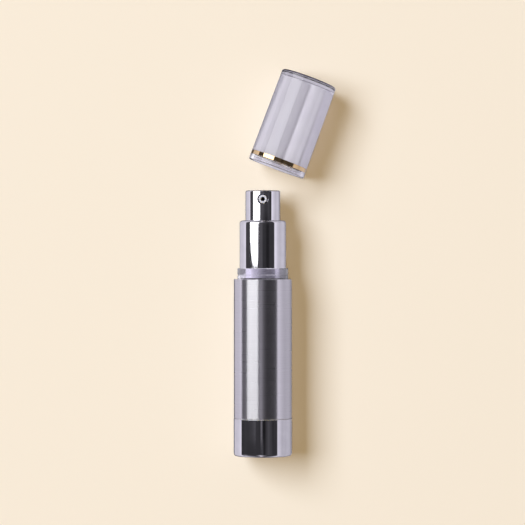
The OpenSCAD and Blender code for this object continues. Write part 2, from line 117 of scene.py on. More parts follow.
def rounded(corners, closed=True):
    """Rows of a profile whose corners (x, y, fillet radius) are rounded: each corner becomes the
    arc of a circle that touches both its sides, swept evenly from one touching point to the
    other, with one more row just before and just after it, so that the sides stay flat."""
    c = np.array(corners, float)
    p = c[:, :2]
    before = np.roll(p, 1, axis=0) - p
    after = np.roll(p, -1, axis=0) - p
    if not closed:
        before[0] = p[0] - p[1]
        after[-1] = p[-1] - p[-2]
    d1 = before / np.linalg.norm(before, axis=1, keepdims=True)
    d2 = after / np.linalg.norm(after, axis=1, keepdims=True)
    inner = c if closed else c[1:-1]
    if not closed:
        p_in, d1, d2 = p[1:-1], d1[1:-1], d2[1:-1]
    else:
        p_in = p
    half = np.arccos(np.clip((d1 * d2).sum(1), -1, 1)) / 2
    rad = inner[:, 2]
    tangent = rad / np.tan(half)
    middle = d1 + d2
    middle /= np.linalg.norm(middle, axis=1, keepdims=True)
    centre = p_in + middle * (rad / np.sin(half))[:, None]
    start = (p_in + d1 * tangent[:, None] - centre) / rad[:, None]
    end = (p_in + d2 * tangent[:, None] - centre) / rad[:, None]
    sweep = (math.pi - 2 * half)[:, None]
    u = np.linspace(0, 1, ARC_STEPS + 1)[None, :]
    w0 = (np.sin((1 - u) * sweep) / np.sin(sweep))[:, :, None]
    w1 = (np.sin(u * sweep) / np.sin(sweep))[:, :, None]
    arcs = centre[:, None, :] + rad[:, None, None] * (w0 * start[:, None, :] + w1 * end[:, None, :])
    margin = np.minimum(0.05, rad * 0.4)[:, None]
    lead = p_in + d1 * (tangent[:, None] + margin)
    trail = p_in + d2 * (tangent[:, None] + margin)
    rows = np.concatenate([lead[:, None, :], arcs, trail[:, None, :]], axis=1).reshape(-1, 2)
    if not closed:
        rows = np.concatenate([p[:1], rows, p[-1:]])
    return rows


def circles(rows, steps=TURN_STEPS):
    """Points (r sin t, h, r cos t) for each row (r, h) and each of the even turns t: the profile
    turned about the Y axis. A third number in a row moves its circle's centre along X."""
    t = np.linspace(0, 2 * math.pi, steps, endpoint=False)[None, :]
    r = rows[:, 0, None]
    h = rows[:, 1, None] + 0 * t
    off = rows[:, 2, None] if rows.shape[1] > 2 else 0
    return np.stack([off + r * np.sin(t), h, r * np.cos(t)], axis=-1)


def grid_quads(n_rows, n_cols, wrap_rows, first=0):
    """Corner numbers of the quads between neighbours in a grid whose columns close on
    themselves, and whose rows do too where wrap_rows is true."""
    i = np.arange(n_rows if wrap_rows else n_rows - 1)[:, None]
    j = np.arange(n_cols)[None, :]
    i2 = (i + 1) % n_rows
    j2 = (j + 1) % n_cols
    quads = np.stack([i * n_cols + j, i * n_cols + j2, i2 * n_cols + j2, i2 * n_cols + j], axis=-1)
    return quads + first


def make_piece(name, points, quads, fans=()):
    """Mesh object from points in millimetres, quads, and fans (a ring of corner numbers and the
    pole that they close on). Its faces are turned outwards if its signed volume is negative."""
    faces = [np.asarray(quads).reshape(-1, 4)]
    tris = []
    for ring, pole in fans:
        tris.append(np.stack([ring, np.roll(ring, -1), np.full(len(ring), pole)], axis=-1))
    q = faces[0]
    halves = [q[:, [0, 1, 2]], q[:, [0, 2, 3]]] + tris
    t = np.concatenate(halves)
    a, b, c = points[t[:, 0]], points[t[:, 1]], points[t[:, 2]]
    volume = np.einsum("ij,ij->i", a, np.cross(b, c)).sum()
    if volume < 0:
        faces = [f[:, ::-1] for f in faces]
        tris = [f[:, ::-1] for f in tris]
    mesh = bpy.data.meshes.new(name)
    listed = faces[0].tolist()
    for f in tris:
        listed += f.tolist()
    mesh.from_pydata((points * MM).tolist(), [], listed)
    mesh.polygons.foreach_set("use_smooth", np.ones(len(mesh.polygons), bool))
    mesh.update()
    piece = bpy.data.objects.new(name, mesh)
    bpy.context.scene.collection.objects.link(piece)
    return piece


def turned(name, corners, closed=True, place=None):
    """Piece turned about the Y axis from rounded corners. A closed profile gives a ring with no
    poles; an open one starts and ends on the axis, where each end closes on a pole."""
    rows = rounded(corners, closed)
    if closed:
        points = circles(rows).reshape(-1, 3)
        quads = grid_quads(len(rows), TURN_STEPS, True)
        fans = ()
    else:
        inner = rows[1:-1]
        points = circles(inner).reshape(-1, 3)
        quads = grid_quads(len(inner), TURN_STEPS, False)
        poles = np.array([[0, rows[0, 1], 0], [0, rows[-1, 1], 0]])
        n = len(points)
        points = np.concatenate([points, poles])
        first = np.arange(TURN_STEPS)[::-1]
        last = np.arange(n - TURN_STEPS, n)
        fans = ((first, n), (last, n + 1))
    if place is not None:
        points = place(points)
    return make_piece(name, points, quads, fans)


def lay_cap(points):
    """Points of the cap, drawn along +Y from its rim, tipped on to its tapered side, turned about
    the upright axis, and moved beside the bottle's tip."""
    p = points + np.array([0, 0, BODY_R])
    c, s = math.cos(-CAP_DIP), math.sin(-CAP_DIP)
    p = p @ np.array([[1, 0, 0], [0, c, -s], [0, s, c]]).T
    c, s = math.cos(-CAP_TURN), math.sin(-CAP_TURN)
    p = p @ np.array([[c, -s, 0], [s, c, 0], [0, 0, 1]]).T
    return p + np.array([CAP_X, CAP_Y, -BODY_R])


def cap_r(u):
    """Outer radius of the cap at height u above its rim: it narrows evenly."""
    return BODY_R - CAP_TAPER * u / CAP_L


def along_uv(piece):
    """UV map of a turned piece: u runs along the bottle's axis and v round it, both in turns."""
    mesh = piece.data
    co = np.zeros(len(mesh.vertices) * 3)
    mesh.vertices.foreach_get("co", co)
    co = co.reshape(-1, 3)
    loops = np.zeros(len(mesh.loops), int)
    mesh.loops.foreach_get("vertex_index", loops)
    at = co[loops]
    v = np.arctan2(at[:, 0], at[:, 2]) / (2 * math.pi)
    v = v.reshape(-1, 4)
    v = np.where(v - v[:, :1] > 0.5, v - 1, v)
    v = np.where(v[:, :1] - v > 0.5, v + 1, v).reshape(-1)
    u = at[:, 1] / (BODY_R * MM * 2 * math.pi)
    layer = mesh.uv_layers.new(name="along")
    layer.data.foreach_set("uv", np.stack([u, v], axis=-1).astype(np.float32).ravel())


def base_cup():
    """Polished cup of the base. Its profile runs from the vent hole out over the floor, up the
    wall and back inside; the rings' centres slide from the vent's centre to the axis, and the
    vent's own wall joins the last row to the first."""
    vent_x, vent_r, edge = 5.0, 0.75, 1.0
    wall = rounded([(8.0, 0, 0.5), (BODY_R, 0, edge), (BODY_R, BASE_H, 0.1),
        (BODY_R - SKIN_T, BASE_H, 0.1), (BODY_R - SKIN_T, SKIN_T, edge - SKIN_T),
        (8.0, SKIN_T, 0.5)], closed=False)
    wall = np.column_stack([wall, np.zeros(len(wall))])
    low = np.array([[vent_r, SKIN_T - 0.06, vent_x], [vent_r, 0.06, vent_x],
        [vent_r + 0.02, 0.02, vent_x], [vent_r + 0.06, 0, vent_x], [1.6, 0, vent_x],
        [4.5, 0, 2.4]])
    high = np.array([[4.5, SKIN_T, 2.4], [1.6, SKIN_T, vent_x],
        [vent_r + 0.06, SKIN_T, vent_x], [vent_r + 0.02, SKIN_T - 0.02, vent_x]])
    rows = np.concatenate([low, wall, high])
    points = circles(rows).reshape(-1, 3)
    return make_piece("base_cup", points, grid_quads(len(rows), TURN_STEPS, True))


def sleeve():
    """Brushed sleeve: a turned tube with rolled edges and a lip turned in at its top."""
    return turned("sleeve", [(SLEEVE_R, SLEEVE_Z, 0.25), (SLEEVE_R, SLEEVE_TOP, 0.25),
        (LIP_IN, SLEEVE_TOP, 0.12), (LIP_IN, SLEEVE_TOP - 0.5, 0.05),
        (SLEEVE_IN, SLEEVE_TOP - 0.5, 0.05), (SLEEVE_IN, SLEEVE_Z, 0.1)])


def clear_ring():
    """Clear ring on the shoulder, turned, with its foot, its snap groove and a small bevel."""
    foot_r, foot_in, foot_top = 10.4, 8.29, SHOULDER_Z + 3.9
    ledge = COLLAR_BOTTOM - 0.05
    return turned("clear_ring", [(foot_in, SHOULDER_Z, 0.05), (foot_r, SHOULDER_Z, 0.1),
        (foot_r, foot_top, 0.05), (RING_R, foot_top, 0.05),
        (RING_R, GROOVE_Z - 0.175, 0.04), (RING_R - 0.2, GROOVE_Z - 0.175, 0.04),
        (RING_R - 0.2, GROOVE_Z + 0.175, 0.04), (RING_R, GROOVE_Z + 0.175, 0.04),
        (RING_R, RING_TOP, 0.25), (RING_IN, RING_TOP, 0.06), (RING_IN, ledge, 0.05),
        (foot_in, ledge, 0.05)])


def collar():
    """Polished skin of the collar, turned, with a round top edge and a clean mouth."""
    mouth = HEAD_R + 0.1
    inner = COLLAR_R - SKIN_T
    return turned("collar", [(inner, COLLAR_BOTTOM, 0.08), (COLLAR_R, COLLAR_BOTTOM, 0.08),
        (COLLAR_R, COLLAR_TOP, 1.1), (mouth, COLLAR_TOP, 0.12),
        (mouth, COLLAR_TOP - SKIN_T, 0.08), (inner, COLLAR_TOP - SKIN_T, 0.65)])


def actuator():
    """Polished skin of the actuator: a turned cup whose wall has a square of its grid taken out
    at the front. There, rings about the nozzle's axis run from the square's edge to a circle,
    down the rounded dimple (depth by distance from that axis), through the window and out to
    the same square on the inner wall. The square is 2 x half grid steps wide."""
    inner = HEAD_R - SKIN_T
    pitch = 2 * math.pi * HEAD_R / TURN_STEPS
    half = 12
    patch_r = 2.45
    level = NOZZLE_Y + pitch * np.arange(-half, half + 1)
    outer_wall = np.column_stack([np.full(len(level), HEAD_R), level])
    inner_wall = np.column_stack([np.full(len(level), inner), level])
    top = rounded([(0, HEAD_TOP, 0), (HEAD_R, HEAD_TOP, 0.5), (HEAD_R, NOZZLE_Y, 0)],
        closed=False)[:-1]
    rim = rounded([(HEAD_R, NOZZLE_Y, 0), (HEAD_R, HEAD_BOTTOM, 0.1), (inner, HEAD_BOTTOM, 0.1),
        (inner, NOZZLE_Y, 0)], closed=False)[1:-1]
    roof = rounded([(inner, NOZZLE_Y, 0), (inner, HEAD_TOP - SKIN_T, 0.06),
        (0, HEAD_TOP - SKIN_T, 0)], closed=False)[1:]
    spokes = np.array([[2.0, HEAD_TOP], [4.5, HEAD_TOP]])
    rows = np.concatenate([spokes, top[1:], outer_wall[::-1], rim, inner_wall, roof[:-1]])
    first_out = len(spokes) + len(top) - 1
    first_in = first_out + len(level) + len(rim)
    n = TURN_STEPS
    points = circles(rows).reshape(-1, 3)
    quads = grid_quads(len(rows), n, False)
    keep = np.ones((len(rows) - 1, n), bool)
    around = np.arange(-half, half) % n
    keep[first_out:first_out + 2 * half][:, around] = False
    keep[first_in:first_in + 2 * half][:, around] = False
    quads = quads[keep]

    def border(first, upward):
        """Grid numbers round the square that starts at row first, always the same way round."""
        i = np.arange(2 * half)
        row = np.concatenate([0 * i, i, 0 * i + 2 * half, 2 * half - i])
        col = np.concatenate([i, 0 * i + 2 * half, 2 * half - i, 0 * i]) - half
        if upward:
            row = 2 * half - row
        return (first + row) * n + col % n

    edge_out = border(first_out, True)
    edge_in = border(first_in, False)
    at = points[edge_out]
    turn = np.arctan2(at[:, 1] - NOZZLE_Y, at[:, 0])
    dish = rounded([(patch_r, 0, 0), (DIMPLE_R, 0, 0.12), (WINDOW_R, -DIMPLE_D, 0.06),
        (WINDOW_R, -SKIN_T, 0)], closed=False)

    def ring(d, depth, r):
        """Circle of radius d about the nozzle's axis, laid on a wall of radius r and sunk."""
        x = d * np.cos(turn)
        y = NOZZLE_Y + d * np.sin(turn)
        return np.stack([x, y, np.sqrt(r * r - x * x) + depth], axis=-1)

    def between(border_points, d, r, share):
        """Ring part way from the circle of radius d to the square border on a wall."""
        x = (1 - share) * d * np.cos(turn) + share * border_points[:, 0]
        y = (1 - share) * (NOZZLE_Y + d * np.sin(turn)) + share * border_points[:, 1]
        return np.stack([x, y, np.sqrt(r * r - x * x)], axis=-1)

    out_rings = [between(at, patch_r, HEAD_R, s) for s in (0.75, 0.5, 0.25)]
    dish_rings = [ring(d, depth, HEAD_R) for d, depth in dish[:-1]]
    in_ring = [ring(WINDOW_R, 0, inner)]
    in_rings = [between(points[edge_in], WINDOW_R, inner, s) for s in (0.33, 0.66)]
    rings = out_rings + dish_rings + in_ring + in_rings
    first = len(points)
    m = len(turn)
    numbers = [edge_out] + [first + k * m + np.arange(m) for k in range(len(rings))] + [edge_in]
    a = np.array(numbers[:-1])
    b = np.array(numbers[1:])
    patch = np.stack([a, b, np.roll(b, -1, axis=1), np.roll(a, -1, axis=1)], axis=-1)
    points = np.concatenate([points] + rings)
    count = len(points)
    points = np.concatenate([points, [[0, HEAD_TOP, 0], [0, HEAD_TOP - SKIN_T, 0]]])
    last_row = (len(rows) - 1) * n
    fans = ((np.arange(n)[::-1], count), (last_row + np.arange(n), count + 1))
    # Rows run from the top's pole down the outside; the patch follows the same turning sense
    return make_piece("actuator", points, np.concatenate([quads.reshape(-1, 4),
        patch.reshape(-1, 4)]), fans)


def nozzle():
    """Round nozzle insert, turned about its own upright axis through the actuator's front: a
    rounded front edge, a wide mouth and a narrow passage behind it."""
    rear = NOZZLE_FRONT - 3.2
    steps = 96
    rows = rounded([(0.5, rear, 0.05), (1.55, rear, 0.1), (1.55, NOZZLE_FRONT, 0.2),
        (0.82, NOZZLE_FRONT, 0.07), (0.82, NOZZLE_FRONT - 2, 0.1),
        (0.5, NOZZLE_FRONT - 2, 0.05)])
    points = circles(rows, steps).reshape(-1, 3)
    points = np.stack([points[:, 0], NOZZLE_Y + points[:, 2], points[:, 1]], axis=-1)
    return make_piece("nozzle", points, grid_quads(len(rows), steps, True))


def cap_shell():
    """Clear shell of the cap: a turned cup with a tapered outside, a groove for the band, a thick
    clear top and a snap bead in its mouth."""
    groove = cap_r(BAND_LOW) - 0.45
    bead = 1.6
    return turned("cap_shell", [(0, CAP_L, 0), (cap_r(CAP_L), CAP_L, CAP_EDGE),
        (cap_r(BAND_HIGH), BAND_HIGH, 0.03), (groove, BAND_HIGH, 0.03),
        (groove, BAND_LOW, 0.03), (cap_r(BAND_LOW), BAND_LOW, 0.03), (BODY_R, 0, 0.22),
        (CAP_BORE, 0, 0.15), (CAP_BORE, bead - 0.15, 0.03), (CAP_BORE - 0.15, bead - 0.075, 0.05),
        (CAP_BORE - 0.15, bead + 0.075, 0.05), (CAP_BORE, bead + 0.15, 0.03),
        (CAP_BORE, CAP_DEPTH, 0.05), (0, CAP_DEPTH, 0)], closed=False, place=lay_cap)


def cap_liner():
    """Pearl liner of the cap: a thin turned cup pressed close against the clear wall and top. From
    its rounded lower rim, its coat goes on down the bore as a thin film to the band."""
    end = CAP_DEPTH - 0.35
    wall = CAP_BORE + PRESSED
    top = CAP_DEPTH + PRESSED
    return turned("cap_liner", [(0, top, 0), (wall, top, 0.7), (wall, COAT_LOW, 0.01),
        (COAT_IN, COAT_LOW, 0.01), (COAT_IN, LINER_LOW, 0.05), (LINER_IN, LINER_LOW, 0.25),
        (LINER_IN, end, 0.2), (0, end, 0)], closed=False, place=lay_cap)


def cap_band():
    """Gold band: a turned ring that fills its groove flush with the cap's outside."""
    inner = cap_r(BAND_LOW) - 0.45
    return turned("cap_band", [(inner, BAND_LOW, 0.03), (cap_r(BAND_LOW), BAND_LOW, 0.05),
        (cap_r(BAND_HIGH), BAND_HIGH, 0.05), (inner, BAND_HIGH, 0.03)], place=lay_cap)


def spring():
    """Return spring: a round wire of radius w carried along the helix (R cos a, h, R sin a), whose
    height h rises evenly with a."""
    w, mean_r, low, high = 0.3, 2.9, 64.875, 75.175
    turns, sides, per_turn = 7, 12, 40
    a = np.linspace(0, 2 * math.pi * turns, turns * per_turn + 1)[:, None]
    b = np.linspace(0, 2 * math.pi, sides, endpoint=False)[None, :]
    h = low + (high - low) * a / (2 * math.pi * turns)
    r = mean_r + w * np.cos(b)
    points = np.stack([r * np.cos(a), h + w * np.sin(b), r * np.sin(a)], axis=-1)
    points = points.reshape(-1, 3)
    quads = grid_quads(len(a), sides, False)
    ends = np.array([[mean_r, low, 0], [mean_r, high, 0]])
    n = len(points)
    points = np.concatenate([points, ends])
    fans = ((np.arange(sides)[::-1], n), (np.arange(n - sides, n), n + 1))
    return make_piece("spring", points, quads, fans)


def new_material(name):
    """Node material with its shader at hand: gives the material, its node tree and the shader."""
    mat = bpy.data.materials.new(name)
    mat.use_nodes = True
    tree = mat.node_tree
    return mat, tree, tree.nodes["Principled BSDF"]


def add(tree, kind, **values):
    """Adds a node and sets its properties, and its inputs where the name is an input's."""
    node = tree.nodes.new(kind)
    for key, value in values.items():
        if hasattr(node, key):
            setattr(node, key, value)
        else:
            node.inputs[key.replace("_", " ")].default_value = value
    return node


def coords(tree, scale=(1, 1, 1), turn=0.0, start=(0, 0, 0)):
    """Object coordinates through a Mapping node: measured from a point, turned back by an angle
    about Z, and then stretched by scale."""
    place = add(tree, "ShaderNodeTexCoord")
    mapping = add(tree, "ShaderNodeMapping", vector_type="TEXTURE")
    mapping.inputs["Location"].default_value = start
    mapping.inputs["Scale"].default_value = [1 / s for s in scale]
    mapping.inputs["Rotation"].default_value = (0, 0, turn)
    tree.links.new(place.outputs["Object"], mapping.inputs["Vector"])
    return mapping.outputs["Vector"]


def cap_coords(tree):
    """Coordinates of the lying cap: Y up its axis from the middle of its rim, and X across it."""
    return coords(tree, turn=-CAP_TURN, start=(CAP_X * MM, CAP_Y * MM, 0))


def noise(tree, vector, scale, detail=3.0, rough=0.5):
    """Noise texture value at that scale per metre."""
    node = add(tree, "ShaderNodeTexNoise", Scale=scale, Detail=detail, Roughness=rough)
    tree.links.new(vector, node.inputs["Vector"])
    return node.outputs["Fac"]


def spread(tree, value, low, high, start=0.3, end=0.7):
    """Value mapped from start..end to low..high, held at the ends."""
    node = add(tree, "ShaderNodeMapRange")
    node.inputs["From Min"].default_value = start
    node.inputs["From Max"].default_value = end
    node.inputs["To Min"].default_value = low
    node.inputs["To Max"].default_value = high
    tree.links.new(value, node.inputs["Value"])
    return node.outputs["Result"]


def rise(tree, value, start, end):
    """0 up to start, rising evenly to 1 at end, and held beyond. Start may be the larger one."""
    return spread(tree, value, 0.0, 1.0, start, end)


def split(tree, vector):
    """The X, Y and Z of a vector, by those names."""
    parts = add(tree, "ShaderNodeSeparateXYZ")
    tree.links.new(vector, parts.inputs["Vector"])
    return parts.outputs


def calculate(tree, operation, *values):
    """Result of one Math node on those values."""
    node = add(tree, "ShaderNodeMath", operation=operation)
    for socket, value in zip(node.inputs, values):
        tree.links.new(value, socket)
    return node.outputs["Value"]


def tint(tree, value, first, second, shader):
    """Base colour that runs from first to second with value."""
    ramp = add(tree, "ShaderNodeValToRGB")
    ramp.color_ramp.elements[0].position = 0.3
    ramp.color_ramp.elements[0].color = (*first, 1)
    ramp.color_ramp.elements[1].position = 0.7
    ramp.color_ramp.elements[1].color = (*second, 1)
    tree.links.new(value, ramp.inputs["Fac"])
    tree.links.new(ramp.outputs["Color"], shader.inputs["Base Color"])


def choose(tree, factor, first, second):
    """Colour that is the second where the factor is 1, and else the first: each is a colour or
    a socket."""
    node = add(tree, "ShaderNodeMix", data_type="RGBA")
    for place, value in ((6, first), (7, second)):
        if isinstance(value, tuple):
            node.inputs[place].default_value = (*value, 1)
        else:
            tree.links.new(value, node.inputs[place])
    tree.links.new(factor, node.inputs["Factor"])
    return node.outputs[2]


def level_ramp(tree, value, levels, tones):
    """Colour ramp over value, with a stop of level times tones for each (place, level)."""
    start, end = levels[0][0], levels[-1][0]
    ramp = add(tree, "ShaderNodeValToRGB")
    stops = ramp.color_ramp.elements
    for place, level in levels[1:-1]:
        stops.new((place - start) / (end - start))
    for stop, (place, level) in zip(stops, levels):
        stop.position = (place - start) / (end - start)
        stop.color = (*(level * tones), 1)
    tree.links.new(rise(tree, value, start, end), ramp.inputs["Fac"])
    return ramp.outputs["Color"]


def relief(tree, value, strength, depth, shader):
    """Bump of that depth in metres from value."""
    node = add(tree, "ShaderNodeBump", Strength=strength, Distance=depth)
    tree.links.new(value, node.inputs["Height"])
    tree.links.new(node.outputs["Normal"], shader.inputs["Normal"])


def polished_metal(name, dark, light, low=0.02, high=0.05):
    """Polished skin: a mirror with faint cloudy handling marks in its tint and gloss."""
    mat, tree, shader = new_material(name)
    shader.inputs["Metallic"].default_value = 1.0
    clouds = noise(tree, coords(tree), 260.0)
    tint(tree, clouds, dark, light, shader)
    fine = noise(tree, coords(tree, (1, 3, 1)), 900.0, 4.0)
    tree.links.new(spread(tree, fine, low, high), shader.inputs["Roughness"])
    return mat


def near_nozzle(tree, start, end):
    """0 within start of the nozzle's own axis, rising to 1 at end, both in millimetres. The
    upright distance is shrunk to nothing, so the length that is left is taken from the axis."""
    flat = coords(tree, (1, 1, 0.0001), start=(0, NOZZLE_Y * MM, 0))
    away = add(tree, "ShaderNodeVectorMath", operation="LENGTH")
    tree.links.new(flat, away.inputs[0])
    return rise(tree, away.outputs["Value"], start * MM, end * MM)


def darken(mat, factor, tone):
    """Gives the material that darker tone where factor falls to 0."""
    tree = mat.node_tree
    shader = tree.nodes["Principled BSDF"]
    colour = shader.inputs["Base Color"].links[0].from_socket
    tree.links.new(choose(tree, factor, tone, colour), shader.inputs["Base Color"])


def brushed_metal():
    """Sleeve's aluminium, brushed round its circumference: fine rings in tint, gloss and height,
    and a highlight that stretches along the bottle."""
    mat, tree, shader = new_material("brushed_aluminium")
    shader.inputs["Metallic"].default_value = 1.0
    shader.inputs["Anisotropic"].default_value = 1.0
    rings = noise(tree, coords(tree, (0.25, 60, 0.25)), 130.0, 8.0, 0.7)
    streaks = noise(tree, coords(tree, (0.3, 24, 0.3)), 90.0, 4.0, 0.6)
    tint(tree, rings, (0.72, 0.71, 0.74), (0.82, 0.81, 0.84), shader)
    tree.links.new(spread(tree, streaks, 0.27, 0.31), shader.inputs["Roughness"])
    relief(tree, rings, 0.02, 0.00002, shader)
    along = add(tree, "ShaderNodeTangent", direction_type="UV_MAP", uv_map="along")
    tree.links.new(along.outputs["Tangent"], shader.inputs["Tangent"])
    return mat


def clear_plastic(name, first, second, low, high):
    """Clear acrylic, with a trace of haze in its tint and gloss."""
    mat, tree, shader = new_material(name)
    shader.inputs["Transmission Weight"].default_value = 1.0
    shader.inputs["IOR"].default_value = 1.49
    haze = noise(tree, coords(tree), 220.0)
    tint(tree, haze, first, second, shader)
    tree.links.new(spread(tree, haze, low, high), shader.inputs["Roughness"])
    return mat


def pearl_plastic():
    """Pearl liner: lilac white with soft flow streaks along the cap, and a satin sheen. Its closed
    end, behind the clear top, is painted shade: a darker grey with soft lighter stripes of painted
    light, and it doesn't mirror."""
    mat, tree, shader = new_material("pearl_plastic")
    flow = noise(tree, coords(tree, (1, 0.03, 1), -CAP_TURN), 260.0, 3.0)
    side = choose(tree, spread(tree, flow, 0.0, 1.0), (0.815, 0.80, 0.855), (0.865, 0.85, 0.90))
    place = split(tree, cap_coords(tree))
    # The closed end gets painted shade and painted light in stripes, not the liner's own colour
    at_end = rise(tree, place["Y"], (CAP_DEPTH - 0.12) * MM, (CAP_DEPTH - 0.02) * MM)
    grey = level_ramp(tree, place["X"], [(x * MM, level) for x, level in END_PAINTED_SHADE_TONES], END_PAINTED_SHADE_TINT)
    tree.links.new(choose(tree, at_end, side, grey), shader.inputs["Base Color"])
    tree.links.new(spread(tree, at_end, 0.3, 0.0, 0.0, 1.0), shader.inputs["Metallic"])
    tree.links.new(spread(tree, at_end, 0.5, 0.0, 0.0, 1.0), shader.inputs["Specular IOR Level"])
    grain = noise(tree, coords(tree), 2500.0, 2.0)
    tree.links.new(spread(tree, grain, 0.08, 0.12), shader.inputs["Roughness"])
    return mat


def moulded_plastic(name, first, second, rough, grain=1800.0, depth=0.00001):
    """Moulded plastic: faint clouds in the colour and a fine grain in gloss and height."""
    mat, tree, shader = new_material(name)
    clouds = noise(tree, coords(tree), 180.0)
    tint(tree, clouds, first, second, shader)
    fine = noise(tree, coords(tree), grain, 3.0)
    tree.links.new(spread(tree, fine, rough - 0.06, rough + 0.06), shader.inputs["Roughness"])
    relief(tree, fine, 0.2, depth, shader)
    return mat


def nozzle_plastic():
    """Nozzle's silver plastic: pale and satin on its face and rim, and painted near black down in
    its mouth as painted shade, where no light reaches: the tone falls with depth below the face."""
    mat, tree, shader = new_material("silver_plastic")
    height = split(tree, coords(tree))["Z"]
    lit = rise(tree, height, (NOZZLE_FRONT - 0.5) * MM, (NOZZLE_FRONT - 0.15) * MM)
    fine = noise(tree, coords(tree), 2400.0, 3.0)
    pale = choose(tree, spread(tree, fine, 0.0, 1.0), (0.66, 0.645, 0.71), (0.72, 0.705, 0.77))
    # Painted shade: near black down the mouth, pale on the face
    tree.links.new(choose(tree, lit, (0.012, 0.012, 0.014), pale), shader.inputs["Base Color"])
    tree.links.new(spread(tree, fine, 0.28, 0.36), shader.inputs["Roughness"])
    return mat


MIRROR_TINTS = (0.80, 0.795, 0.83), (0.86, 0.855, 0.885)
WHITE_TINTS = (0.84, 0.84, 0.83), (0.88, 0.88, 0.87)

polished = polished_metal("polished_aluminium", *MIRROR_TINTS)
brushed = brushed_metal()
clear = clear_plastic("clear_acrylic", (0.93, 0.92, 0.96), (0.97, 0.965, 0.985), 0.015, 0.05)
clear_moulded = clear_plastic("clear_ring_acrylic", (0.80, 0.79, 0.84), (0.86, 0.85, 0.90),
    0.01, 0.03)
pearl = pearl_plastic()
gold = polished_metal("gold_band", (0.90, 0.65, 0.34), (0.94, 0.70, 0.39), 0.01, 0.03)
silver = nozzle_plastic()
white = moulded_plastic("white_plastic", *WHITE_TINTS, 0.38)
natural = moulded_plastic("natural_plastic", (0.78, 0.8, 0.81), (0.85, 0.86, 0.87), 0.34)
soft = moulded_plastic("soft_plastic", (0.83, 0.83, 0.8), (0.88, 0.88, 0.85), 0.55)
foam = moulded_plastic("foam_gasket", (0.76, 0.76, 0.74), (0.84, 0.84, 0.82), 0.85, 1200.0, 0.00005)
steel = polished_metal("stainless_steel", (0.56, 0.56, 0.57), (0.64, 0.64, 0.65), 0.12, 0.22)

# The actuator's skin and core, painted dark at the dimple's edge and down the nozzle's bore: the
# tone stands for deep shade
head = polished_metal("actuator_aluminium", *MIRROR_TINTS)
darken(head, near_nozzle(head.node_tree, DIMPLE_R - 0.08, DIMPLE_R + 0.04), (0.16, 0.15, 0.18))
head_core = moulded_plastic("actuator_core_plastic", *WHITE_TINTS, 0.38)
darken(head_core, near_nozzle(head_core.node_tree, 0.9, 1.1), (0.008, 0.008, 0.009))

FINISHES = {"polished_aluminium": polished, "brushed_aluminium": brushed,
    "clear_acrylic": clear, "pearl_plastic": pearl, "gold_band": gold,
    "silver_plastic": silver, "white_plastic": white, "natural_plastic": natural,
    "soft_plastic": soft, "foam_gasket": foam, "stainless_steel": steel}


def dress(piece, slot, body, node):
    """Gives a new piece its finish and its body, and hides the CAD node that it stands for."""
    piece.data.materials.append(FINISHES[slot])
    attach(piece, body)
    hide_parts(node)


base_piece = base_cup()
dress(base_piece, "polished_aluminium", "bottle", "base_shell")
sleeve_piece = sleeve()
along_uv(sleeve_piece)
dress(sleeve_piece, "brushed_aluminium", "bottle", "outer_sleeve")
ring_piece = clear_ring()
dress(ring_piece, "clear_acrylic", "bottle", "shoulder_ring")
ring_piece.data.materials[0] = clear_moulded
collar_piece = collar()
dress(collar_piece, "polished_aluminium", "bottle", "collar_shell")
actuator_piece = actuator()
dress(actuator_piece, "polished_aluminium", "actuator", "actuator_shell")
actuator_piece.data.materials[0] = head
nozzle_piece = nozzle()
dress(nozzle_piece, "silver_plastic", "actuator", "nozzle_insert")
shell_piece = cap_shell()
dress(shell_piece, "clear_acrylic", "cap", "cap_shell")
liner_piece = cap_liner()
dress(liner_piece, "pearl_plastic", "cap", "cap_liner")
band_piece = cap_band()
dress(band_piece, "gold_band", "cap", "cap_band")
spring_piece = spring()
dress(spring_piece, "stainless_steel", "bottle", "return_spring")
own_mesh(spring_piece)

SLOTS = {s["node"]: s["material_slot"] for s in frame["record"]["subparts"]}
for name, node in frame["nodes"].items():
    node.data.materials.clear()
    node.data.materials.append(FINISHES[SLOTS[name]])
frame["nodes"]["actuator_core"].data.materials[0] = head_core

# Floor and lamps: at these powers a surface in full light shows about its own colour
FLOOR_Z = -0.01101
FLOOR_CREAM = (0.93, 0.82, 0.68)
FILL = (0.08, 0.065, 0.04)
KEY_POWER = 700.0
KEY_COLOUR = (0.755, 0.848, 1.0)
OVERHEAD_POWER = 28.5
OVERHEAD_COLOUR = (1.0, 0.80, 0.47)
SOFTBOX_COLOUR = (0.985, 0.985, 1.0)
SOFTBOX_LEVEL = 8.1
SOFTBOX_AWAY = 1.2

# The softbox's parts: the angles from straight up that each fills, in degrees to the left, and
# where it starts and ends along the bottle, in metres
SOFTBOX_PARTS = (("softbox_foot", (27, 47), 0.0705, 0.0725),
    ("softbox_ankle", (25, 53), 0.0725, 0.077), ("softbox_calf", (24, 58), 0.077, 0.083),
    ("softbox_knee", (24, 62), 0.083, 0.091), ("softbox_waist", (24, 66), 0.091, 0.109),
    ("softbox", (19, 67), 0.109, 1.0705))

# Metal and clear plastic don't show the floor and backdrop that the camera sees. They show a
# studio of their own with a lilac table, whose tones and levels are set so that the view from
# above has the photograph's reflections. Other views have the same studio. 1 is white.
LILAC = np.array([0.985, 0.94, 1.06])
PALE_LILAC = np.array([1.0, 0.98, 1.01])
